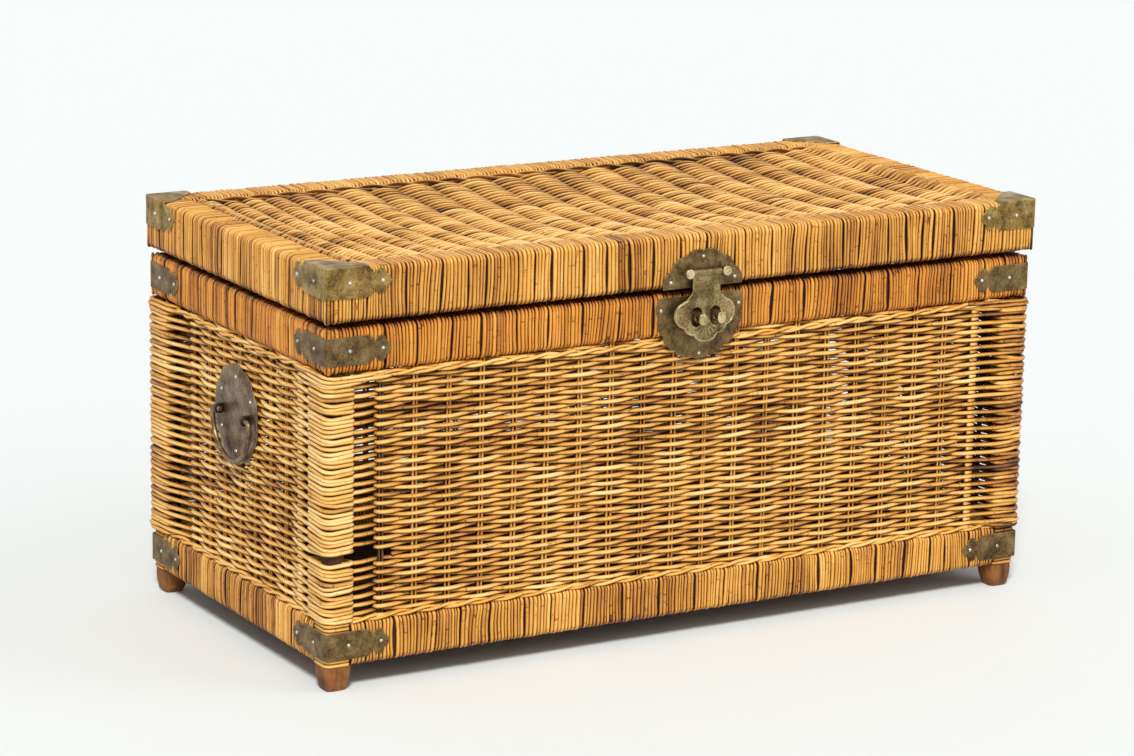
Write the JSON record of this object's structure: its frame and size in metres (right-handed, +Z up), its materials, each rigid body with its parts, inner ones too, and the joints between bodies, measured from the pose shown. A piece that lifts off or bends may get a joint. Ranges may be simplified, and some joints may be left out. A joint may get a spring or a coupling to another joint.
{
  "type": "wicker trunk",
  "caption": "Rectangular wicker trunk with wrapped rails, woven panels, a hinged lid, corner brackets, a hasp, bail handles and short feet.",
  "frame": {"origin": "on the floor, at the middle of the trunk's outer box", "axes": "+Z up, +X along the trunk to its right as seen from the front, -Y to the front with the hasp"},
  "size_m": [0.9284, 0.4834, 0.4645],
  "materials": {
    "core_batten": "plain sawn batten, hidden under the wound strands",
    "rail_wrap": "wound rattan strands, orange brown, satin",
    "lid_wrap": "wound rattan strands, honey, satin",
    "woven_side": "woven round rattan rods, golden honey, satin",
    "woven_lid": "woven rattan rods, pale honey, satin",
    "corner_pole": "peeled rattan pole",
    "foot_wood": "stained wood, worn edges",
    "bracket_brass": "aged brass, dark olive grey",
    "cap_brass": "aged brass, yellow olive",
    "plate_brass": "aged brass, dark",
    "flap_brass": "aged brass, worn lighter",
    "handle_metal": "dark bronzed metal",
    "nail": "small bright nail heads"
  },
  "bodies": {
    "base": {"lower_rail_core": "core_batten", "upper_rail_core": "core_batten", "lower_wrap_front": "rail_wrap", "upper_wrap_front": "rail_wrap", "panel_front": "woven_side", "lower_wrap_right": "rail_wrap", "upper_wrap_right": "rail_wrap", "panel_right": "woven_side", "lower_wrap_back": "rail_wrap", "upper_wrap_back": "rail_wrap", "panel_back": "woven_side", "lower_wrap_left": "rail_wrap", "upper_wrap_left": "rail_wrap", "panel_left": "woven_side", "panel_bottom": "woven_side", "corner_weave": "woven_side", "corner_post_front_left": "corner_pole", "foot_front_left": "foot_wood", "lower_bracket_front_left": "bracket_brass", "upper_bracket_front_left": "bracket_brass", "corner_post_front_right": "corner_pole", "foot_front_right": "foot_wood", "lower_bracket_front_right": "bracket_brass", "upper_bracket_front_right": "bracket_brass", "corner_post_back_right": "corner_pole", "foot_back_right": "foot_wood", "lower_bracket_back_right": "bracket_brass", "upper_bracket_back_right": "bracket_brass", "corner_post_back_left": "corner_pole", "foot_back_left": "foot_wood", "lower_bracket_back_left": "bracket_brass", "upper_bracket_back_left": "bracket_brass", "hasp_plate_lower": "plate_brass", "hasp_eye_posts": "plate_brass", "hinge_leaves_base": "plate_brass", "hinge_pins": "plate_brass", "handle_plate_left": "handle_metal", "handle_eyes_left": "handle_metal", "handle_plate_right": "handle_metal", "handle_eyes_right": "handle_metal", "nails_base": "nail"},
    "lid": {"lid_rail_core": "core_batten", "lid_wrap_front": "lid_wrap", "lid_wrap_right": "lid_wrap", "lid_wrap_back": "lid_wrap", "lid_wrap_left": "lid_wrap", "panel_lid": "woven_lid", "lid_cap_front_left": "cap_brass", "lid_cap_front_right": "cap_brass", "lid_cap_back_right": "cap_brass", "lid_cap_back_left": "cap_brass", "hasp_plate_upper": "plate_brass", "hasp_knuckle_posts": "plate_brass", "hasp_pin": "plate_brass", "hinge_leaves_lid": "plate_brass", "nails_lid": "nail"},
    "hasp_flap": {"hasp_flap": "flap_brass"},
    "bail_left": {"bail_left": "handle_metal"},
    "bail_right": {"bail_right": "handle_metal"}
  },
  "joints": [
    {"name": "lid_hinge", "type": "hinge", "parent": "base", "child": "lid", "pos_m": [0, 0.23815, 0.401], "axis": [-1, 0, 0], "range_deg": [0, 110]},
    {"name": "flap_hinge", "type": "hinge", "parent": "lid", "child": "hasp_flap", "pos_m": [0.005, -0.22815, 0.4215], "axis": [-1, 0, 0], "range_deg": [0, 165]},
    {"name": "bail_left_hinge", "type": "hinge", "parent": "base", "child": "bail_left", "pos_m": [-0.4587, 0.00785, 0.2585], "axis": [0, 1, 0], "range_deg": [0, 180]},
    {"name": "bail_right_hinge", "type": "hinge", "parent": "base", "child": "bail_right", "pos_m": [0.4587, 0.00785, 0.2585], "axis": [0, -1, 0], "range_deg": [0, 180]}
  ]
}
